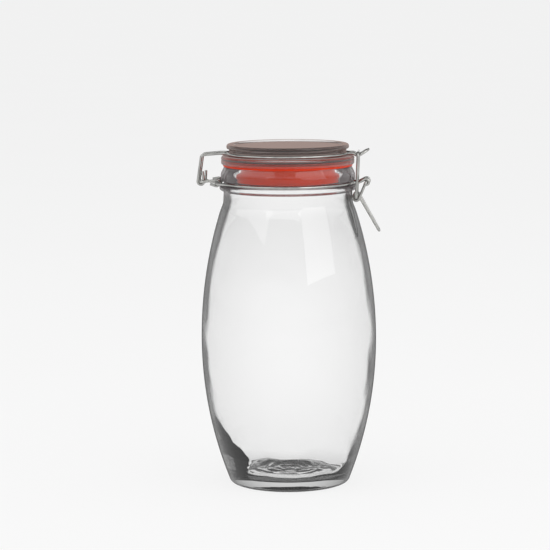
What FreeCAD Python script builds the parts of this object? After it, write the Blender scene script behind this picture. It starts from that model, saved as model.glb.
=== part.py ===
import FreeCAD, Part
import math
import os

V = FreeCAD.Vector

# Clip-top storage jar, two litres. Millimetres, +Z up, the jar's axis on Z and the table at Z = 0.
# The hinge is at -X, the clasp at +X, and the front of the jar faces -Y.

# ---- glass jar: outside
belly_r = 66.0  # widest radius
belly_z = 110.0  # height of the widest ring
lower_barrel_r = 294.0  # radius of the barrel's curve below the belly
upper_barrel_r = 322.0  # and above it
heel_r = 4.2  # rounding between wall and base
neck_r = 48.6  # plain neck below the bead
shoulder_z = 205.4  # the barrel ends here and blends into the neck
bead_r = 51.35  # the bead under the wire groove
bead_low = 223.2
bead_high = 226.8
groove_r = 48.0  # groove that holds the neck wire
groove_low = 227.1
groove_high = 229.7
lip_r = 50.4  # domed lip above the groove
lip_top_z = 240.8
lip_top_r = 47.6
mouth_r = 41.0
mouth_low = 235.0  # the mouth's straight bore ends here and widens into the neck

# ---- glass jar: inside
wall = 3.6  # at the belly
wall_shoulder = 5.8  # the glass is thicker at the shoulder
wall_low = 4.0  # and a little near the floor
floor_z = 8.0  # inner floor at the wall
push_up = 2.4  # rise of the floor towards the middle
stand_ring_in = 34.0  # inner radius of the ring that the jar stands on
kick_up = 1.6  # hollow under the base

# ---- gasket and lid
gasket_gap = 0.1  # running gap to the glass on either face
gasket_t = 3.0
gasket_r = 48.6
gasket_in = 38.3
skirt_low = 231.5  # the gasket's skirt hangs inside the mouth
skirt_r = 38.0  # and tapers, so that it clears the mouth as the lid swings
skirt_top_r = 40.3
skirt_in = 36.2
flange_r = 50.0
flange_t = 4.6
waist_r = 44.0  # groove for the lid wire
waist_top = 253.5
rim_r = 45.9
lid_top_z = 257.2
top_hollow = 3.4  # depth of the hollow in the lid's top
plug_r = 38.0  # plug that drops into the gasket's skirt
plug_tip_r = 35.9
plug_z = 236.6
plug_wall = 2.5

# ---- wires
wire_d = 2.0
lid_wire_r = 45.25  # centre line of the wire in the lid's waist
lid_wire_z = 250.3
neck_wire_r = 49.25
neck_wire_z = 228.4
run = 0.3  # free gap where two wires hook together

# ---- hinge at the back
hinge_x = -65.0
hinge_z = 229.3
hinge_half = 10.2  # half the span between the hinge loop's legs
hook_half = 6.9  # where the lid wire's two hooks sit on the crossbar
hinge_shoulder_x = -64.4  # where the lid wire turns down to the hinge
hinge_shoulder_z = 249.2
tail_length = 7.5
tail_lean = {-1: 7.0, 1: -3.0}  # the two tails' angles from upright, front and rear
chord_x = -53.1  # the neck wire runs straight here, clear of the glass
chord_half = 13.0

# ---- clasp at the front
pivot_x = 58.9  # where the lever turns in the neck wire's two eyes
pivot_z = 228.9
coil_x = 51.6  # the lever's coils, which carry the bail
coil_z = 217.4
bar_x = 53.1  # the bail's crossbar, shut
bar_z = 251.05
tip_x = 68.5  # end of the lever's handle
tip_z = 191.9
eye_half = 6.5  # planes of the eyes, the lever's arms, its coils and the bail's legs
arm_half = 9.1
strand_half = 6.95
bail_half = 11.45
tip_half = 2.7
tongue_half = 6.5
coil_r = 2.25
valley_z = 248.2
tongue_tip_x = 60.5
tongue_tip_z = 252.9


def unit(v):
    return v.multiply(1.0 / v.Length)


def line(a, b):
    return Part.makeLine(a, b)


def bend_edges(points, bends):
    """Straight runs through the points, with a tangent arc of the given radius at each inner point."""
    edges = []
    last = points[0]
    for i in range(1, len(points) - 1):
        corner = points[i]
        back = unit(points[i - 1].sub(corner))
        ahead = unit(points[i + 1].sub(corner))
        r = bends[i - 1]
        turn = back.getAngle(ahead)
        if not r or turn > math.pi - 1e-3:
            continue
        reach = r / math.tan(turn / 2)
        start = corner.add(V(back).multiply(reach))
        end = corner.add(V(ahead).multiply(reach))
        mid_dir = unit(back.add(ahead))
        centre = corner.add(V(mid_dir).multiply(r / math.sin(turn / 2)))
        mid = centre.sub(V(mid_dir).multiply(r))
        if start.distanceToPoint(last) > 1e-4:
            edges.append(line(last, start))
        edges.append(Part.Arc(start, mid, end).toShape())
        last = end
    if last.distanceToPoint(points[-1]) > 1e-4:
        edges.append(line(last, points[-1]))
    return edges


def rod(edges, diameter, start, ahead):
    """A round wire swept along joined edges, as one solid with flat ends."""
    path = Part.Wire(Part.__sortEdges__(edges))
    ring = Part.Wire([Part.makeCircle(diameter / 2, start, ahead)])
    return path.makePipeShell([ring], True, False)


def circle_edges(centre, r, a0, a1, y):
    """An arc in an XZ plane from angle a0 to a1 in degrees, either way round."""
    def at(a):
        t = math.radians(a)
        return V(centre[0] + r * math.cos(t), y, centre[1] + r * math.sin(t))

    steps = max(1, int(math.ceil(abs(a1 - a0) / 170.0)))
    edges = []
    for i in range(steps):
        p = a0 + (a1 - a0) * i / steps
        q = a0 + (a1 - a0) * (i + 1) / steps
        edges.append(Part.Arc(at(p), at((p + q) / 2), at(q)).toShape())
    return edges, at(a0), at(a1)


def revolve(edges):
    face = Part.Face(Part.Wire(edges))
    return face.revolve(V(0, 0, 0), V(0, 0, 1), 360)


def fillet_profile(points, radii):
    """A closed profile in the XZ plane through (r, z) points, each corner rounded by its radius."""
    n = len(points)
    pts = [V(p[0], 0, p[1]) for p in points]
    cuts = []
    for i in range(n):
        corner = pts[i]
        back = unit(pts[i - 1].sub(corner))
        ahead = unit(pts[(i + 1) % n].sub(corner))
        r = radii[i]
        turn = back.getAngle(ahead)
        if not r or turn > math.pi - 1e-3:
            cuts.append((corner, None, corner))
            continue
        reach = r / math.tan(turn / 2)
        start = corner.add(V(back).multiply(reach))
        end = corner.add(V(ahead).multiply(reach))
        mid_dir = unit(back.add(ahead))
        centre = corner.add(V(mid_dir).multiply(r / math.sin(turn / 2)))
        mid = centre.sub(V(mid_dir).multiply(r))
        cuts.append((start, mid, end))
    edges = []
    for i in range(n):
        start, mid, end = cuts[i]
        if mid is not None:
            edges.append(Part.Arc(start, mid, end).toShape())
        nxt = cuts[(i + 1) % n][0]
        if end.distanceToPoint(nxt) > 1e-4:
            edges.append(line(end, nxt))
    return edges


def barrel_r(z):
    """Radius of the barrel's outer curve at height z."""
    big = upper_barrel_r if z > belly_z else lower_barrel_r
    return belly_r - big + math.sqrt(big ** 2 - (z - belly_z) ** 2)


def jar():
    # outer skin: stand ring, heel, barrel, shoulder, neck, bead, groove and domed lip
    blend_z = shoulder_z + 9.8
    barrel_x = belly_r - lower_barrel_r
    heel_x = barrel_x + math.sqrt((lower_barrel_r - heel_r) ** 2 - (belly_z - heel_r) ** 2)
    tilt = math.atan2(heel_r - belly_z, heel_x - barrel_x)
    half_turn = (tilt - math.pi / 2) / 2
    p0 = V(stand_ring_in, 0, 0)
    p1 = V(heel_x, 0, 0)
    p2 = V(heel_x + heel_r * math.cos(tilt), 0, heel_r + heel_r * math.sin(tilt))
    middle = V(heel_x + heel_r * math.cos(half_turn), 0, heel_r + heel_r * math.sin(half_turn))
    heel_z = p2.z
    outer = [line(p0, p1), Part.Arc(p1, middle, p2).toShape()]
    mid_low = V(barrel_r((heel_z + belly_z) / 2), 0, (heel_z + belly_z) / 2)
    p3 = V(belly_r, 0, belly_z)
    outer.append(Part.Arc(p2, mid_low, p3).toShape())
    p4 = V(barrel_r(shoulder_z), 0, shoulder_z)
    mid_up = V(barrel_r((shoulder_z + belly_z) / 2), 0, (shoulder_z + belly_z) / 2)
    outer.append(Part.Arc(p3, mid_up, p4).toShape())
    # the hollow blend leaves the barrel along its slope and meets the neck upright
    slope = math.asin((shoulder_z - belly_z) / upper_barrel_r)
    p5 = V(neck_r, 0, blend_z)
    blend = Part.BezierCurve()
    reach = (blend_z - shoulder_z) / 2
    c1 = V(p4.x - reach * math.tan(slope), 0, shoulder_z + reach)
    blend.setPoles([p4, c1, V(neck_r, 0, blend_z - reach * 0.7), p5])
    outer.append(blend.toShape())
    p6 = V(neck_r - 0.3, 0, 220.6)
    outer.append(line(p5, p6))
    # bead, groove and lip
    neck_points = [
        p6,
        V(neck_r - 0.25, 0, 222.4),
        V(bead_r, 0, bead_low),
        V(bead_r, 0, bead_high),
        V(groove_r, 0, groove_low),
        V(groove_r, 0, groove_high),
        V(lip_r + 0.1, 0, groove_high + 0.2),
        V(lip_r, 0, 235.2),
        V(lip_top_r, 0, lip_top_z),
        V(mouth_r, 0, lip_top_z),
    ]
    neck_bends = [0.7, 1.6, 1.7, 0.35, 0.35, 1.2, 7.0, 1.0]
    outer += bend_edges(neck_points, neck_bends)
    # inner skin back down to the floor
    top = V(mouth_r, 0, lip_top_z)
    in_neck = V(mouth_r, 0, mouth_low)
    inner_neck_r = neck_r - 4.4
    wall_top = 207.0
    a = V(inner_neck_r, 0, 219.5)
    b = V(barrel_r(wall_top) - wall_shoulder, 0, wall_top)
    in_belly = V(belly_r - wall, 0, belly_z)
    in_low_z = floor_z + 15.0
    c = V(barrel_r(in_low_z) - wall_low, 0, in_low_z)
    inner = [
        line(top, in_neck),
        line(in_neck, V(inner_neck_r, 0, 228.0)),
        line(V(inner_neck_r, 0, 228.0), a),
    ]
    bend_in = Part.BezierCurve()
    half = (a.z - b.z) / 2
    bend_in.setPoles([a, V(a.x, 0, a.z - half * 0.8), V(b.x - half * math.tan(slope), 0, b.z + half), b])
    inner.append(bend_in.toShape())
    za = (wall_top + belly_z) / 2
    upper_mid = V(barrel_r(za) - 0.72 * wall - 0.28 * wall_shoulder, 0, za)
    inner.append(Part.Arc(b, upper_mid, in_belly).toShape())
    zb = (in_low_z + belly_z) / 2
    lower_mid = V(barrel_r(zb) - 0.75 * wall - 0.25 * wall_low, 0, zb)
    inner.append(Part.Arc(in_belly, lower_mid, c).toShape())
    corner = Part.BezierCurve()
    low = math.asin((belly_z - in_low_z) / lower_barrel_r)
    floor_edge = V(34.0, 0, floor_z + 0.2)
    corner.setPoles([
        c,
        V(c.x - 10.0 * math.tan(low), 0, c.z - 10.0),
        V(floor_edge.x + 8.0, 0, floor_edge.z - 0.3),
        floor_edge,
    ])
    inner.append(corner.toShape())
    # the floor is a shallow ball, so it crosses the axis level
    rise = floor_z + push_up - floor_edge.z
    ball = (floor_edge.x ** 2 + rise ** 2) / (2 * rise)
    middle_top = V(0, 0, floor_z + push_up)
    half_way = floor_edge.x / 2
    half_up = middle_top.z - ball + math.sqrt(ball ** 2 - half_way ** 2)
    inner.append(Part.Arc(floor_edge, V(half_way, 0, half_up), middle_top).toShape())
    # the hollow under the base
    under = V(0, 0, kick_up)
    inner.append(line(middle_top, under))
    inner.append(line(under, V(stand_ring_in - 3.0, 0, kick_up)))
    inner.append(line(V(stand_ring_in - 3.0, 0, kick_up), p0))
    return revolve(outer + inner)


def lid():
    flange_top = lip_top_z + gasket_t + 2 * gasket_gap + flange_t
    flange_low = lip_top_z + gasket_t + 2 * gasket_gap
    points = [
        (0.0, 246.6),
        (plug_tip_r - plug_wall - 2.4, 245.6),
        (plug_tip_r - plug_wall, plug_z),
        (plug_tip_r, plug_z),
        (plug_r, flange_low),
        (flange_r, flange_low),
        (flange_r, flange_top),
        (waist_r, flange_top + 0.2),
        (waist_r, waist_top),
        (rim_r, waist_top + 0.6),
        (rim_r, lid_top_z),
        (40.8, lid_top_z),
        (39.6, lid_top_z - top_hollow - 0.4),
        (0.0, lid_top_z - top_hollow),
    ]
    radii = [0, 2.5, 1.1, 1.1, 0, 1.6, 1.6, 0.6, 0.6, 1.0, 1.5, 2.0, 1.6, 0]
    return revolve(fillet_profile(points, radii))


def gasket():
    """A flat ring between lip and lid, with a tapered skirt that hangs inside the mouth."""
    low = lip_top_z + gasket_gap
    points = [
        (skirt_in, skirt_low),
        (skirt_r, skirt_low),
        (skirt_top_r, low),
        (gasket_r, low),
        (gasket_r, low + gasket_t),
        (gasket_in, low + gasket_t),
    ]
    return revolve(fillet_profile(points, [0.6, 0.6, 0.5, 0.7, 0.7, 0.4]))


def ring_arc(r, z, a0, a1):
    """An arc round the jar's axis at height z, between two angles in degrees."""
    def at(a):
        t = math.radians(a)
        return V(r * math.cos(t), r * math.sin(t), z)

    edges = []
    steps = max(1, int(math.ceil(abs(a1 - a0) / 120.0)))
    for i in range(steps):
        p = a0 + (a1 - a0) * i / steps
        q = a0 + (a1 - a0) * (i + 1) / steps
        edges.append(Part.Arc(at(p), at((p + q) / 2), at(q)).toShape())
    return edges, at(a0), at(a1)


def tangent(r, a, way):
    """Unit vector along a circle round the jar's axis at angle a, way +1 for anticlockwise."""
    t = math.radians(a)
    return V(-math.sin(t) * way, math.cos(t) * way, 0)


def both_sides(half):
    """A symmetric wire: half(side) gives the edges of one side, and where and which way that side ends."""
    near, end, ahead = half(-1)
    far, _, _ = half(1)
    return rod(near + far, wire_d, end, ahead)


def lid_wire_side(side):
    r = lid_wire_r
    z = lid_wire_z
    # tongue: from the middle of its tip, down into the valley and back to the waist
    front_a = math.degrees(math.asin((tongue_half + 3.2) / r))
    back_a = 172.0 - math.degrees(math.asin((hook_half + 1.0) / r))
    arc, near, far = ring_arc(r, z, front_a * side, back_a * side)
    inward = tangent(r, front_a * side, -side)
    turn = near.add(V(inward).multiply((abs(near.y) - tongue_half) / abs(inward.y)))
    y = tongue_half * side
    points = [
        V(tongue_tip_x, 0, tongue_tip_z),
        V(tongue_tip_x, y, tongue_tip_z),
        V(bar_x, y, valley_z),
        V(49.4, y, z),
        V(turn.x, y, z),
        near,
    ]
    edges = bend_edges(points, [5.2, 3.2, 3.0, 2.2])
    edges += arc
    # from the back of the waist to the hinge, round its crossbar and up to a free tail
    along = tangent(r, back_a * side, side)
    leave = far.add(V(along).multiply((abs(far.y) - hook_half) / abs(along.y)))
    y = hook_half * side
    hook_r = wire_d + run
    lean = tail_lean[side]
    dx = hinge_x - hinge_shoulder_x
    dz = hinge_z - hinge_shoulder_z
    heading = math.atan2(dz, dx) - math.asin(hook_r / math.hypot(dx, dz))
    onto = (math.degrees(heading) - 90.0) % 360.0
    hook, c0, c1 = circle_edges((hinge_x, hinge_z), hook_r, onto, 360.0 + lean, y)
    t = math.radians(lean)
    ahead = V(-math.sin(t), 0, math.cos(t))
    shoulder = V(hinge_shoulder_x, y, hinge_shoulder_z)
    edges += bend_edges([far, leave, V(-51.5, y, z), shoulder, c0], [2.6, 2.0, 2.4])
    edges += hook
    end = c1.add(V(ahead).multiply(tail_length))
    edges.append(line(c1, end))
    return edges, end, ahead


def lid_wire():
    return both_sides(lid_wire_side)


def neck_wire_side(side):
    r = neck_wire_r
    z = neck_wire_z
    # the straight run at the back, then a bend on to the groove's circle
    d = math.hypot(chord_x, chord_half)
    a_point = math.degrees(math.atan2(chord_half, chord_x))
    a_back = a_point - math.degrees(math.acos(r / d))
    front_a = math.degrees(math.asin((eye_half + 4.5) / r))
    arc, start, end = ring_arc(r, z, a_back * side, front_a * side)
    edges = bend_edges([V(chord_x, 0, z), V(chord_x, chord_half * side, z), start], [3.0])
    edges += arc
    y = eye_half * side
    heading = tangent(r, front_a * side, -side)
    corner = end.add(V(heading).multiply((abs(end.y) - eye_half) / abs(heading.y)))
    # the eye: up to the top of its circle, round the pivot and back below
    eye_r = wire_d + 0.15
    foot = V(corner.x + 4.2, y, z)
    dx = pivot_x - foot.x
    dz = pivot_z - foot.z
    rise = math.atan2(dz, dx) + math.asin(eye_r / math.hypot(dx, dz))
    last_a = -138.0
    eye, c0, c1 = circle_edges((pivot_x, pivot_z), eye_r, math.degrees(rise) + 90.0, last_a, y)
    edges += bend_edges([end, corner, foot, c0], [3.4, 1.6])
    edges += eye
    t = math.radians(last_a)
    return edges, c1, V(math.sin(t), 0, -math.cos(t))


def neck_wire():
    return both_sides(neck_wire_side)


def hinge_loop_side(side):
    # half the crossbar, a leg, and a wrap round the neck wire's straight run
    wrap_r = wire_d + 0.15
    y = side * hinge_half
    over = -side  # the front leg passes over the neck wire, the rear leg under it
    dx = chord_x - hinge_x
    dz = neck_wire_z - hinge_z
    lean = math.atan2(dz, dx) + over * math.asin(wrap_r / math.hypot(dx, dz))
    a0 = math.degrees(lean) + over * 90.0
    a1 = a0 - over * 205.0
    wrap, c0, c1 = circle_edges((chord_x, neck_wire_z), wrap_r, a0, a1, y)
    t = math.radians(a1)
    ahead = V(math.sin(t) * over, 0, -math.cos(t) * over)
    end = c1.add(V(ahead).multiply(4.2))
    edges = bend_edges([V(hinge_x, 0, hinge_z), V(hinge_x, y, hinge_z), c0], [2.0])
    edges += wrap
    edges.append(line(c1, end))
    return edges, end, ahead


def hinge_loop():
    return both_sides(hinge_loop_side)


def lever_side(side):
    # angles, seen along Y, of the handle and of the arm where each touches the coil's circle
    h_dir = math.atan2(tip_z - coil_z, tip_x - coil_x)
    h_dir -= math.asin(coil_r / math.hypot(tip_x - coil_x, tip_z - coil_z))
    a_dir = math.atan2(coil_z - pivot_z, coil_x - pivot_x)
    a_dir += math.asin(coil_r / math.hypot(coil_x - pivot_x, coil_z - pivot_z))
    sweep = (a_dir - h_dir) % (2 * math.pi)
    # the coil is one turn drawn as tangent bends, easing outwards from the handle's plane to the arm's
    turns = 5
    step = sweep / turns
    out = coil_r / math.cos(step / 2)
    points = [V(tip_x, 0, tip_z), V(tip_x, tip_half * side, tip_z)]
    for i in range(turns):
        t = h_dir + math.pi / 2 + step * (i + 0.5)
        y = strand_half + (arm_half - strand_half) * i / (turns - 1)
        points.append(V(coil_x + out * math.cos(t), y * side, coil_z + out * math.sin(t)))
    end = V(pivot_x, (eye_half - 2.3) * side, pivot_z)
    points += [V(pivot_x, arm_half * side, pivot_z), end]
    return bend_edges(points, [2.4] + [0.92 * coil_r] * turns + [1.5]), end, V(0, -side, 0)


def lever():
    return both_sides(lever_side)


def bail_side(side):
    y = bail_half * side
    end = V(coil_x, (strand_half - 1.6) * side, coil_z)
    points = [V(bar_x, 0, bar_z), V(bar_x, y, bar_z), V(coil_x, y, coil_z), end]
    return bend_edges(points, [2.8, 1.5]), end, V(0, -side, 0)


def bail():
    return both_sides(bail_side)


nodes = {
    "jar": jar,
    "lid": lid,
    "gasket": gasket,
    "lid_wire": lid_wire,
    "neck_wire": neck_wire,
    "hinge_loop": hinge_loop,
    "lever": lever,
    "bail": bail,
}

os.makedirs("parts", exist_ok=True)
for name, make in nodes.items():
    shape = make()
    if shape.Volume < 0:
        shape.reverse()
    box = shape.BoundBox
    print(name, shape.ShapeType, shape.isValid(), round(shape.Volume, 1),
          [round(v, 2) for v in (box.XMin, box.XMax, box.YMin, box.YMax, box.ZMin, box.ZMax)])
    shape.exportStep("parts/" + name + ".step")
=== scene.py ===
import math

import bmesh
import bpy
from mathutils import Matrix, Vector, noise


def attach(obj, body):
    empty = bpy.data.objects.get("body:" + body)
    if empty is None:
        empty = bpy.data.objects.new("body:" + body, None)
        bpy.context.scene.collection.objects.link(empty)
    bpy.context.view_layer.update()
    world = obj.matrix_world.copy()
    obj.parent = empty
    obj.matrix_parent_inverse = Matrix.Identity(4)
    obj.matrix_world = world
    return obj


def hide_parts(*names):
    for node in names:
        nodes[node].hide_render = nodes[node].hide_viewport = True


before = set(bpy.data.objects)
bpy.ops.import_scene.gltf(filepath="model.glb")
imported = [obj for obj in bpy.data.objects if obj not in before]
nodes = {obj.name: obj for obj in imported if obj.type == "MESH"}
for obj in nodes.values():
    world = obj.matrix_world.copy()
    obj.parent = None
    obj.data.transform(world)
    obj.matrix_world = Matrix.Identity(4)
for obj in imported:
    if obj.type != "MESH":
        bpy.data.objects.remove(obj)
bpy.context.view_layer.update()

# Clip-top storage jar. +Z up, hinge at -X, clasp at +X, front of the jar at -Y.
# Camera, lamps, floor and materials are in metres, the profiles of the pieces in millimetres.

MM = 0.001
AROUND = 230  # segments round the axis of each turned piece
WHITE = (1.0, 1.0, 1.0, 1.0)
GLASS_IOR = 1.5


# ---------------------------------------------------------------- camera
def make_camera():
    aim = Vector((-0.0102, 0.0, 0.1578))
    distance = 1.8
    azimuth = math.radians(4.0)
    lift = 0.241
    eye = aim + Vector((distance * math.sin(azimuth), -distance * math.cos(azimuth), lift))
    data = bpy.data.cameras.new("camera")
    data.angle = math.radians(13.05)
    data.clip_end = 200.0
    data.dof.use_dof = False
    camera = bpy.data.objects.new("camera", data)
    bpy.context.scene.collection.objects.link(camera)
    turn = (aim - eye).to_track_quat("-Z", "Y").to_matrix().to_4x4()
    roll = Matrix.Rotation(math.radians(-0.4), 4, "Z")
    camera.matrix_world = Matrix.Translation(eye) @ turn @ roll
    bpy.context.scene.camera = camera


# ---------------------------------------------------------------- materials
def grey(level):
    return (level, level, level)


def new_material(name):
    mat = bpy.data.materials.new(name)
    mat.use_nodes = True
    nt = mat.node_tree
    return mat, nt, nt.nodes["Principled BSDF"], nt.nodes["Material Output"]


def object_noise(nt, scale, detail, stretch=(1.0, 1.0, 1.0)):
    coord = nt.nodes.new("ShaderNodeTexCoord")
    mapping = nt.nodes.new("ShaderNodeMapping")
    mapping.inputs["Scale"].default_value = stretch
    tex = nt.nodes.new("ShaderNodeTexNoise")
    tex.inputs["Scale"].default_value = scale
    tex.inputs["Detail"].default_value = detail
    nt.links.new(coord.outputs["Object"], mapping.inputs["Vector"])
    nt.links.new(mapping.outputs["Vector"], tex.inputs["Vector"])
    return tex.outputs["Fac"]


def height_of(nt, kind):
    """The Z of the object's own coordinates, or of the world's generated ones."""
    coord = nt.nodes.new("ShaderNodeTexCoord")
    split = nt.nodes.new("ShaderNodeSeparateXYZ")
    nt.links.new(coord.outputs[kind], split.inputs["Vector"])
    return split.outputs["Z"]


def ramp(nt, source, low_stop, high_stop):
    """A blend between two (place, colour) stops."""
    node = nt.nodes.new("ShaderNodeValToRGB")
    for element, (place, colour) in zip(node.color_ramp.elements, (low_stop, high_stop)):
        element.position = place
        element.color = (*colour, 1.0)
    nt.links.new(source, node.inputs["Fac"])
    return node.outputs["Color"]


def bump(nt, bsdf, height, strength, distance):
    node = nt.nodes.new("ShaderNodeBump")
    node.inputs["Strength"].default_value = strength
    node.inputs["Distance"].default_value = distance
    nt.links.new(height, node.inputs["Height"])
    nt.links.new(node.outputs["Normal"], bsdf.inputs["Normal"])


def mix_shaders(nt, factor, first, second):
    mix = nt.nodes.new("ShaderNodeMixShader")
    nt.links.new(factor, mix.inputs["Fac"])
    nt.links.new(first, mix.inputs[1])
    nt.links.new(second, mix.inputs[2])
    return mix.outputs["Shader"]


def painted_edge_shade(nt, dark, starts, veil):
    """How much painted shade, a dark matt shader, is mixed into the glass. dark is how much goes
    where light is totally reflected inside or meets a surface at a grazing angle, which paints
    the dark lines along the edges. It sets in where the surface reflects more than starts. veil
    is a fainter painted shade that grows gently towards the edges."""
    # painted shade: dark lines painted along the edges, not light lost in the glass
    grazing = nt.nodes.new("ShaderNodeFresnel")
    grazing.inputs["IOR"].default_value = GLASS_IOR
    rim = ramp(nt, grazing.outputs["Fac"], (starts, grey(0.0)), (starts + 0.4, grey(dark)))
    facing = nt.nodes.new("ShaderNodeLayerWeight")
    facing.inputs["Blend"].default_value = 0.5
    painted_shade_amount = nt.nodes.new("ShaderNodeMath")
    painted_shade_amount.operation = "MULTIPLY_ADD"
    painted_shade_amount.use_clamp = True
    painted_shade_amount.inputs[1].default_value = veil
    nt.links.new(facing.outputs["Facing"], painted_shade_amount.inputs[0])
    nt.links.new(rim, painted_shade_amount.inputs[2])
    return painted_shade_amount.outputs[0]


def glass_material(name, tint, density, wave_scale, wave_depth, dark, starts, veil, painted_shade_tones):
    """Clear glass with a tint in its depth and soft waves on its faces, with painted shade mixed
    in towards the edges. painted_shade_tones are two stops, by height, for the colour of that
    painted shade. dark, starts and veil are as in painted_edge_shade."""
    mat, nt, bsdf, out = new_material(name)
    bsdf.inputs["Base Color"].default_value = WHITE
    bsdf.inputs["Roughness"].default_value = 0.0
    bsdf.inputs["IOR"].default_value = GLASS_IOR
    bsdf.inputs["Transmission Weight"].default_value = 1.0
    bump(nt, bsdf, object_noise(nt, wave_scale, 1.0, (1.0, 1.0, 0.45)), 1.0, wave_depth)
    volume = nt.nodes.new("ShaderNodeVolumeAbsorption")
    volume.inputs["Color"].default_value = (*tint, 1.0)
    volume.inputs["Density"].default_value = density
    nt.links.new(volume.outputs["Volume"], out.inputs["Volume"])
    # painted shade: a matt shader, coloured by height, mixed in where the edges are painted dark
    shade = nt.nodes.new("ShaderNodeBsdfDiffuse")
    nt.links.new(ramp(nt, height_of(nt, "Object"), *painted_shade_tones), shade.inputs["Color"])
    painted_shade_amount = painted_edge_shade(nt, dark, starts, veil)
    body = mix_shaders(nt, painted_shade_amount, bsdf.outputs["BSDF"], shade.outputs["BSDF"])
    path = nt.nodes.new("ShaderNodeLightPath")
    clear = nt.nodes.new("ShaderNodeBsdfTransparent")
    clear.inputs["Color"].default_value = (0.92, 0.92, 0.92, 1.0)
    surface = mix_shaders(nt, path.outputs["Is Shadow Ray"], body, clear.outputs["BSDF"])
    nt.links.new(surface, out.inputs["Surface"])
    return mat


def jar_glass_material():
    return glass_material(
        "jar_clear",
        tint=(0.44, 0.45, 0.44),
        density=5.0,
        wave_scale=14.0,
        wave_depth=0.0006,
        dark=0.83,
        starts=0.22,
        veil=0.10,
        # painted edge shade: near black on the body; on the neck and lip a lighter lilac grey, a
        # painted reflection there
        painted_shade_tones=[(0.214, (0.03, 0.03, 0.03)), (0.222, (0.20, 0.17, 0.175))],
    )


def lid_glass_material():
    return glass_material(
        "lid_clear",
        tint=(0.52, 0.44, 0.41),
        density=40.0,
        wave_scale=30.0,
        wave_depth=0.00015,
        dark=0.66,
        starts=0.08,
        veil=0.36,
        # painted edge shade in a brownish pink grey, lighter low on the lid: painted shade and
        # reflection on the lid's grazing faces
        painted_shade_tones=[(0.244, (0.36, 0.29, 0.285)), (0.252, (0.27, 0.205, 0.185))],
    )


def rubber_material():
    """Orange-red rubber. The skirt, down inside the mouth, is painted brighter than the ring:
    painted light that makes up for the light it lacks in there.
    """
    ring_low, skirt_high = 0.2405, 0.2385
    mat, nt, bsdf, _ = new_material("gasket_rubber")
    cloud = object_noise(nt, 60.0, 4.0)
    ring = ramp(nt, cloud, (0.3, (0.70, 0.034, 0.005)), (0.7, (0.78, 0.044, 0.007)))
    # painted light: the skirt's colour is set brighter than the ring's, standing in for the light
    # it lacks
    skirt = ramp(nt, cloud, (0.3, (0.86, 0.046, 0.005)), (0.7, (0.92, 0.056, 0.007)))
    depth = nt.nodes.new("ShaderNodeMapRange")
    depth.inputs["From Min"].default_value = ring_low
    depth.inputs["From Max"].default_value = skirt_high
    nt.links.new(height_of(nt, "Object"), depth.inputs["Value"])
    both = nt.nodes.new("ShaderNodeMix")
    both.data_type = "RGBA"
    nt.links.new(depth.outputs["Result"], both.inputs["Factor"])
    nt.links.new(ring, both.inputs["A"])
    nt.links.new(skirt, both.inputs["B"])
    nt.links.new(both.outputs["Result"], bsdf.inputs["Base Color"])
    rough = ramp(nt, cloud, (0.3, grey(0.42)), (0.7, grey(0.55)))
    nt.links.new(rough, bsdf.inputs["Roughness"])
    bump(nt, bsdf, object_noise(nt, 1400.0, 2.0), 0.25, 0.0001)
    bsdf.inputs["Specular IOR Level"].default_value = 0.25
    return mat


def steel_material():
    """Bright drawn wire."""
    mat, nt, bsdf, _ = new_material("wire_steel")
    bsdf.inputs["Metallic"].default_value = 1.0
    cloud = object_noise(nt, 220.0, 3.0)
    colour = ramp(nt, cloud, (0.25, (0.33, 0.33, 0.32)), (0.75, (0.50, 0.50, 0.48)))
    nt.links.new(colour, bsdf.inputs["Base Color"])
    rough = ramp(nt, cloud, (0.2, grey(0.10)), (0.8, grey(0.22)))
    nt.links.new(rough, bsdf.inputs["Roughness"])
    bump(nt, bsdf, object_noise(nt, 2600.0, 2.0), 0.18, 0.00006)
    return mat


# ---------------------------------------------------------------- profiles
def arc_points(centre, radius, a0, a1, count):
    points = []
    for i in range(count + 1):
        t = math.radians(a0 + (a1 - a0) * i / count)
        points.append((centre[0] + radius * math.cos(t), centre[1] + radius * math.sin(t)))
    return points


def arc_through(p, q, s, count):
    """Points on the circular arc from p through q to s."""
    ax, ay = q[0] - p[0], q[1] - p[1]
    bx, by = s[0] - p[0], s[1] - p[1]
    d = 2 * (ax * by - ay * bx)
    a2, b2 = ax * ax + ay * ay, bx * bx + by * by
    cx, cy = p[0] + (by * a2 - ay * b2) / d, p[1] + (ax * b2 - bx * a2) / d
    r = math.hypot(p[0] - cx, p[1] - cy)
    t0 = math.atan2(p[1] - cy, p[0] - cx)
    t1 = math.atan2(s[1] - cy, s[0] - cx)
    sweep = (t1 - t0 + math.pi) % (2 * math.pi) - math.pi
    return [
        (cx + r * math.cos(t0 + sweep * i / count), cy + r * math.sin(t0 + sweep * i / count))
        for i in range(count + 1)
    ]


def bezier_points(poles, count):
    points = []
    for i in range(count + 1):
        t = i / count
        s = 1.0 - t
        w = (s ** 3, 3 * s * s * t, 3 * s * t * t, t ** 3)
        points.append(tuple(sum(w[k] * poles[k][j] for k in range(4)) for j in (0, 1)))
    return points


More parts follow.
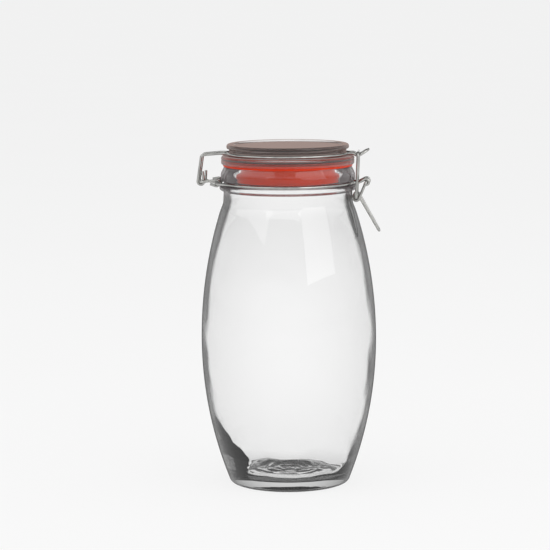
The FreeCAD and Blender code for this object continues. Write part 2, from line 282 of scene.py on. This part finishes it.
def rounded(points, radii, steps=6):
    """An open polyline with each inner corner rounded by its radius."""
    result = [points[0]]
    for i in range(1, len(points) - 1):
        corner = Vector(points[i])
        back = (Vector(points[i - 1]) - corner).normalized()
        ahead = (Vector(points[i + 1]) - corner).normalized()
        r = radii[i - 1]
        turn = back.angle(ahead)
        if not r or turn > math.pi - 1e-3:
            result.append(tuple(corner))
            continue
        reach = r / math.tan(turn / 2)
        centre = corner + (back + ahead).normalized() * (r / math.sin(turn / 2))
        start = corner + back * reach - centre
        end = corner + ahead * reach - centre
        sweep = math.atan2(start.x * end.y - start.y * end.x, start.dot(end))
        for k in range(steps + 1):
            a = sweep * k / steps
            c, s = math.cos(a), math.sin(a)
            x = centre.x + start.x * c - start.y * s
            y = centre.y + start.x * s + start.y * c
            result.append((x, y))
    result.append(points[-1])
    return result


def subdivide(points, longest):
    result = [points[0]]
    for p, q in zip(points, points[1:]):
        length = math.hypot(q[0] - p[0], q[1] - p[1])
        pieces = max(1, int(math.ceil(length / longest)))
        for k in range(1, pieces + 1):
            f = k / pieces
            result.append((p[0] + (q[0] - p[0]) * f, p[1] + (q[1] - p[1]) * f))
    return result


def without_doubles(points, gap=0.02):
    result = [points[0]]
    for p in points[1:]:
        if math.hypot(p[0] - result[-1][0], p[1] - result[-1][1]) > gap:
            result.append(p)
    return result


def spin(name, profile, shift=None):
    """A closed surface of revolution, from a profile that starts and ends on the axis or that
    closes on itself. shift(r, z, angle) returns a moved (r, z)."""
    on_axis = 1e-6
    profile = without_doubles(profile)
    bm = bmesh.new()
    rings = []
    for r, z in profile:
        if r < on_axis:
            rings.append([bm.verts.new((0.0, 0.0, z * MM))])
            continue
        ring = []
        for k in range(AROUND):
            a = 2 * math.pi * k / AROUND
            rr, zz = shift(r, z, a) if shift else (r, z)
            ring.append(bm.verts.new((rr * math.cos(a) * MM, rr * math.sin(a) * MM, zz * MM)))
        rings.append(ring)
    pairs = list(zip(rings, rings[1:]))
    if profile[0][0] > on_axis or profile[-1][0] > on_axis:
        pairs.append((rings[-1], rings[0]))
    for low, high in pairs:
        for k in range(AROUND):
            n = (k + 1) % AROUND
            face = []
            for ring, place in ((low, k), (low, n), (high, n), (high, k)):
                vertex = ring[place % len(ring)]
                if vertex not in face:
                    face.append(vertex)
            bm.faces.new(face)
    bmesh.ops.recalc_face_normals(bm, faces=bm.faces)
    mesh = bpy.data.meshes.new(name)
    bm.to_mesh(mesh)
    bm.free()
    for poly in mesh.polygons:
        poly.use_smooth = True
    obj = bpy.data.objects.new(name, mesh)
    bpy.context.scene.collection.objects.link(obj)
    return obj


# ---------------------------------------------------------------- glass jar
BELLY_R, BELLY_Z = 66.0, 110.0  # the widest place
LOWER_R, UPPER_R = 294.0, 322.0  # radii of the barrel's arcs, below and above it
WALL, WALL_SHOULDER, WALL_LOW = 2.8, 5.6, 4.6
HEEL_R = 4.2
STAND_R, STAND_Z = 34.0, 0.05  # inner edge of the ring that the jar stands on
DOME_R, DOME_EDGE_Z, DOME_RISE = 31.0, 1.6, 2.6  # kicked-up underside
SHOULDER_Z = 205.4  # where the barrel's arc ends
NECK_R, NECK_Z = 48.6, 215.2
BORE_R, BORE_Z = 44.2, 219.5  # inside of the neck, and its lower end
MOUTH_R, LIP_Z = 41.0, 240.8
INNER_SHOULDER_Z, INNER_HEEL_Z = 207.0, 23.0  # ends of the barrel's inner skin
FLOOR_R, FLOOR_Z, FLOOR_RISE = 34.0, 10.4, 2.2  # inner floor, with its height at the middle


def barrel_r(z):
    big = UPPER_R if z > BELLY_Z else LOWER_R
    return BELLY_R - big + math.sqrt(big ** 2 - (z - BELLY_Z) ** 2)


def barrel_points(z0, z1, count):
    heights = [z0 + (z1 - z0) * i / count for i in range(count + 1)]
    return [(barrel_r(z), z) for z in heights]


def jar_outside(slope):
    """From the middle of the underside, round the heel and up to the neck."""
    steps = 26
    points = [
        (DOME_R * i / steps, DOME_EDGE_Z + DOME_RISE * (1 - (i / steps) ** 2))
        for i in range(steps)
    ]
    barrel_x = BELLY_R - LOWER_R
    heel_x = barrel_x + math.sqrt((LOWER_R - HEEL_R) ** 2 - (BELLY_Z - HEEL_R) ** 2)
    tilt = math.degrees(math.atan2(HEEL_R - BELLY_Z, heel_x - barrel_x))
    step = [(30.0, 1.8), (DOME_R, DOME_EDGE_Z), (STAND_R, STAND_Z), (heel_x, STAND_Z)]
    points += rounded(step, [1.5, 1.5])[1:-1]
    heel = arc_points((heel_x, HEEL_R), HEEL_R, -90.0, tilt, 14)
    points += [(r, max(z, STAND_Z)) for r, z in heel]
    points += barrel_points(heel[-1][1], SHOULDER_Z, 72)[1:]
    top = (barrel_r(SHOULDER_Z), SHOULDER_Z)
    reach = (NECK_Z - SHOULDER_Z) / 2
    poles = [
        top,
        (top[0] - reach * math.tan(slope), SHOULDER_Z + reach),
        (NECK_R, NECK_Z - reach * 0.7),
        (NECK_R, NECK_Z),
    ]
    return points + bezier_points(poles, 14)[1:]


def jar_neck():
    """Neck, bead, groove of the neck wire, domed lip and the mouth, down to the bore's end."""
    corners = [
        (NECK_R, NECK_Z),
        (48.3, 220.6),
        (48.35, 222.4),
        (51.35, 223.2),
        (51.35, 226.8),
        (48.0, 227.1),
        (48.0, 229.7),
        (50.5, 229.9),
        (50.4, 235.2),
        (47.6, LIP_Z),
        (MOUTH_R, LIP_Z),
        (MOUTH_R, 235.0),
        (BORE_R, 228.0),
        (BORE_R, BORE_Z),
    ]
    bends = [8.0, 0.7, 1.6, 1.7, 0.35, 0.35, 1.2, 7.0, 1.0, 1.2, 6.0, 8.0]
    return subdivide(rounded(corners, bends, 8), 1.2)


def jar_inside(slope):
    """From the bore, down the inner skin of the barrel, to the middle of the floor."""
    high = (barrel_r(INNER_SHOULDER_Z) - WALL_SHOULDER, INNER_SHOULDER_Z)
    reach = (BORE_Z - INNER_SHOULDER_Z) / 2
    poles = [
        (BORE_R, BORE_Z),
        (BORE_R, BORE_Z - reach * 0.8),
        (high[0] - reach * math.tan(slope), INNER_SHOULDER_Z + reach),
        high,
    ]
    points = bezier_points(poles, 14)[1:]
    upper_z = (INNER_SHOULDER_Z + BELLY_Z) / 2
    upper_middle = (barrel_r(upper_z) - 0.72 * WALL - 0.28 * WALL_SHOULDER, upper_z)
    in_belly = (BELLY_R - WALL, BELLY_Z)
    points += arc_through(high, upper_middle, in_belly, 48)[1:]
    lower_z = (INNER_HEEL_Z + BELLY_Z) / 2
    lower_middle = (barrel_r(lower_z) - 0.75 * WALL - 0.25 * WALL_LOW, lower_z)
    low = (barrel_r(INNER_HEEL_Z) - WALL_LOW, INNER_HEEL_Z)
    points += arc_through(in_belly, lower_middle, low, 48)[1:]
    low_slope = math.asin((BELLY_Z - INNER_HEEL_Z) / LOWER_R)
    poles = [
        low,
        (low[0] - 10.0 * math.tan(low_slope), low[1] - 10.0),
        (42.0, 7.9),
        (FLOOR_R, FLOOR_Z - FLOOR_RISE),
    ]
    points += bezier_points(poles, 18)[1:]
    ball = (FLOOR_R ** 2 + FLOOR_RISE ** 2) / (2 * FLOOR_RISE)
    steps = 24
    for i in range(1, steps):
        r = FLOOR_R * (1 - i / steps)
        points.append((r, FLOOR_Z - ball + math.sqrt(ball ** 2 - r ** 2)))
    return points + [(0.0, FLOOR_Z)]


def jar_profile():
    slope = math.asin((SHOULDER_Z - BELLY_Z) / UPPER_R)
    return jar_outside(slope) + jar_neck()[1:] + jar_inside(slope)


FLOOR_EDGE = 34.5  # radius where the rings of the inner floor end
WAVES_TOP = 214.0  # height where the waves of the inner skin end

# Thick glass low on the left side, seen from the front: from its ragged front edge the inner skin
# turns away at the angle that reflects light inside the wall, so the patch looks dark.
# THICK_EDGE gives heights, and how far the patch reaches from its peak in degrees.
THICK_PEAK = math.radians(201.7)
THICK_SLOPE = 0.26
THICK_EDGE = [
    (8.0, 27.0),
    (15.0, 31.0),
    (25.0, 36.0),
    (34.0, 24.0),
    (44.0, 14.0),
    (54.0, 4.0),
    (60.0, 0.0),
]


def underside_rings(r, a):
    blot = noise.noise(Vector((r * math.cos(a) / 9.0, r * math.sin(a) / 9.0, 4.1)))
    ring = 0.30 * math.sin(r * 1.5) + 0.4 * blot
    return ring * min(1.0, (DOME_R - r) / 5.0) * min(1.0, r / 6.0)


def floor_rings(r, a):
    edge = min(1.0, (FLOOR_EDGE - r) / 6.0) * min(1.0, r / 8.0)
    sway = noise.noise(Vector((math.cos(a) * 0.8, math.sin(a) * 0.8, r / 18.0)))
    blot = noise.noise(Vector((r * math.cos(a) / 7.0, r * math.sin(a) / 7.0, 1.7)))
    return edge * (0.55 * math.sin(r * 0.82 + 2.2 * sway) + 0.5 * blot)


def skin_waves(z, a):
    """How far the wavy inner skin lies inwards, more so low down."""
    p = Vector((math.cos(a) * 1.9, math.sin(a) * 1.9, z / 34.0))
    wave = noise.noise(p) * 0.75 + noise.noise(p * 2.3 + Vector((5.1, 2.2, 7.7))) * 0.3
    fade = min(1.0, (WAVES_TOP - z) / 20.0)
    low = 1.0 + 1.2 * max(0.0, 1.0 - z / 60.0)
    return 0.55 * fade * low * wave


def thick_edge(z):
    """How far the thick patch reaches from its peak towards the front, in radians."""
    for (z0, e0), (z1, e1) in zip(THICK_EDGE, THICK_EDGE[1:]):
        if z0 <= z < z1:
            return math.radians(e0 + (e1 - e0) * (z - z0) / (z1 - z0))
    return 0.0


def thick_patch(r, z, a):
    """How far the thick patch brings the inner skin inwards. Behind its peak it fades out."""
    ragged = noise.noise(Vector((0.4, z / 4.0, 3.3)))
    ragged += 0.6 * noise.noise(Vector((2.4, z / 1.8, 9.3)))
    reach = thick_edge(z) * (1.0 + 0.12 * ragged)
    turn = (a - THICK_PEAK + math.pi) % (2 * math.pi) - math.pi
    if turn >= 0.0:
        return r * THICK_SLOPE * max(0.0, reach ** 2 - turn ** 2)
    fall = math.cos(min(math.pi, -turn * 1.8)) * 0.5 + 0.5
    return r * THICK_SLOPE * reach ** 2 * max(0.0, fall)


def uneven(r, z, a):
    """Blown glass: rings under the base and on the floor, a wavy inner skin with its thick patch,
    and a smooth outside."""
    if r < DOME_R and z < 4.5:
        return r, z + underside_rings(r, a)
    outside = r > barrel_r(min(max(z, 8.0), 205.0)) - WALL / 2
    if outside or z > WAVES_TOP or z < 5.0:
        return r, z
    if r < FLOOR_EDGE and z < 12.0:
        return r, z + floor_rings(r, a)
    inward = skin_waves(z, a) + thick_patch(r, z, a)
    return r - inward * min(1.0, r / 30.0), z


def make_jar(material):
    jar = spin("jar_glass", jar_profile(), uneven)
    jar.data.materials.append(material)
    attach(jar, "jar")
    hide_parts("jar")


# ---------------------------------------------------------------- lid and gasket
def make_lid(material):
    """From the hollow under the plug, round the plug, the flange with its down-turned bead, the
    waist that holds the lid wire and the rim, to the middle of the top."""
    plug_z = 236.6
    flange_r, flange_low, flange_top = 50.0, 244.0, 248.6
    waist_r = 44.0
    rim_r, top_z = 45.9, 257.2
    corners = [
        (0.0, 246.6),
        (31.0, 245.6),
        (33.4, plug_z),
        (35.9, plug_z),
        (38.0, flange_low),
        (48.8, flange_low),
        (48.95, flange_low - 1.5),
        (49.9, flange_low - 1.5),
        (flange_r, flange_low + 1.2),
        (49.4, flange_low + 1.7),
        (flange_r, flange_low + 2.2),
        (flange_r, flange_top),
        (waist_r, flange_top + 0.2),
        (waist_r, 253.5),
        (rim_r, 254.1),
        (rim_r, top_z),
        (41.6, top_z),
        (40.2, 255.7),
        (0.0, 256.0),
    ]
    bends = [2.5, 1.1, 1.1, 0.0, 0.3, 0.4, 0.5, 0.6, 0.3, 0.6, 2.2, 0.6, 0.6, 1.0, 1.5, 1.2, 0.8]
    lid = spin("lid_glass", subdivide(rounded(corners, bends, 8), 1.5))
    lid.data.materials.append(material)
    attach(lid, "lid")
    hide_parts("lid")


def make_gasket(material):
    """The rubber is squeezed, so it wets both glass faces. Its skirt hangs inside the mouth."""
    low, high, skirt_z = 240.74, 244.06, 231.5
    start = (45.0, low)
    corners = [
        start,
        (48.6, low),
        (48.6, high),
        (38.3, high),
        (36.2, skirt_z),
        (38.0, skirt_z),
        (40.3, low),
        start,
    ]
    outline = rounded(corners, [0.5, 0.5, 0.4, 0.6, 0.6, 0.4], 5)
    gasket = spin("gasket_ring", subdivide(outline, 0.8)[:-1])
    gasket.data.materials.append(material)
    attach(gasket, "lid")
    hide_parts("gasket")


# ---------------------------------------------------------------- wires: the CAD shapes, in steel
def finish_wires(material):
    for name in ("lid_wire", "neck_wire", "hinge_loop", "lever", "bail"):
        wire = nodes[name]
        wire.data.materials.clear()
        wire.data.materials.append(material)


# ---------------------------------------------------------------- studio
def seen_strength(nt, seen, lighting):
    """One strength for rays that show the background, whether straight to the camera, through
    glass or off a shiny surface, and another for rays that light things. seen is a number or an
    output socket."""
    path = nt.nodes.new("ShaderNodeLightPath")
    shows = path.outputs["Is Camera Ray"]
    for kind in ("Is Glossy Ray", "Is Transmission Ray"):
        either = nt.nodes.new("ShaderNodeMath")
        either.operation = "MAXIMUM"
        nt.links.new(shows, either.inputs[0])
        nt.links.new(path.outputs[kind], either.inputs[1])
        shows = either.outputs[0]
    mix = nt.nodes.new("ShaderNodeMix")
    mix.data_type = "FLOAT"
    nt.links.new(shows, mix.inputs["Factor"])
    mix.inputs["A"].default_value = lighting
    if isinstance(seen, float):
        mix.inputs["B"].default_value = seen
    else:
        nt.links.new(seen, mix.inputs["B"])
    return mix.outputs["Result"]


def make_floor():
    """A pale floor, so wide that its far edge lies past the picture. A glow makes it pale, and
    its matt colour takes the jar's shadow."""
    bm = bmesh.new()
    bmesh.ops.create_circle(bm, cap_ends=True, radius=40.0, segments=128)
    mesh = bpy.data.meshes.new("floor")
    bm.to_mesh(mesh)
    bm.free()
    floor = bpy.data.objects.new("floor", mesh)
    bpy.context.scene.collection.objects.link(floor)
    mat, nt, bsdf, out = new_material("floor_paper")
    colour = ramp(nt, object_noise(nt, 3.0, 2.0), (0.0, grey(0.120)), (1.0, grey(0.128)))
    nt.links.new(colour, bsdf.inputs["Base Color"])
    bsdf.inputs["Roughness"].default_value = 0.9
    bsdf.inputs["Specular IOR Level"].default_value = 0.0
    glow = nt.nodes.new("ShaderNodeEmission")
    glow.inputs["Color"].default_value = WHITE
    nt.links.new(seen_strength(nt, 0.785, 0.34), glow.inputs["Strength"])
    add = nt.nodes.new("ShaderNodeAddShader")
    nt.links.new(bsdf.outputs["BSDF"], add.inputs[0])
    nt.links.new(glow.outputs["Emission"], add.inputs[1])
    nt.links.new(add.outputs["Shader"], out.inputs["Surface"])
    mesh.materials.append(mat)


def make_world():
    """A pale wall all round, with a dim ceiling."""
    wall_top, ceiling = 0.12, 0.42  # sines of the angle above the horizon
    world = bpy.data.worlds.new("studio")
    bpy.context.scene.world = world
    world.use_nodes = True
    nt = world.node_tree
    background = nt.nodes["Background"]
    background.inputs["Color"].default_value = WHITE
    height = height_of(nt, "Generated")
    wall = ramp(nt, height, (wall_top, grey(0.94)), (ceiling, grey(0.20)))
    nt.links.new(seen_strength(nt, wall, 0.78), background.inputs["Strength"])


def softbox(name, turn, height, size, radiance, away=1.6):
    """A large soft panel that faces the jar. turn is from the front towards +X, in degrees, and
    away is how far it stands from the jar's axis."""
    t = math.radians(turn)
    place = Vector((away * math.sin(t), -away * math.cos(t), height))
    neck = Vector((0.0, 0.0, 0.2))
    data = bpy.data.lights.new(name, "AREA")
    data.shape = "RECTANGLE"
    data.size, data.size_y = size
    data.energy = radiance * math.pi * size[0] * size[1]
    light = bpy.data.objects.new(name, data)
    bpy.context.scene.collection.objects.link(light)
    light.location = place
    light.rotation_euler = (neck - place).to_track_quat("-Z", "Y").to_euler()
    light.visible_camera = False
    light.visible_transmission = False


def make_lights():
    softbox("right_panel", 51.0, 1.13, (1.5, 1.5), 1.75)
    softbox("front_panel", -6.0, 1.42, (2.0, 0.55), 1.3)
    softbox("left_panel", -66.0, 1.45, (2.5, 1.2), 1.2)
    softbox("far_right_panel", 100.0, 1.35, (1.4, 1.2), 0.8)
    softbox("top_panel", 5.0, 2.2, (1.8, 0.9), 1.3, away=0.55)


bpy.context.scene.view_settings.view_transform = "Standard"
make_camera()
make_jar(jar_glass_material())
make_lid(lid_glass_material())
make_gasket(rubber_material())
finish_wires(steel_material())
make_floor()
make_world()
make_lights()
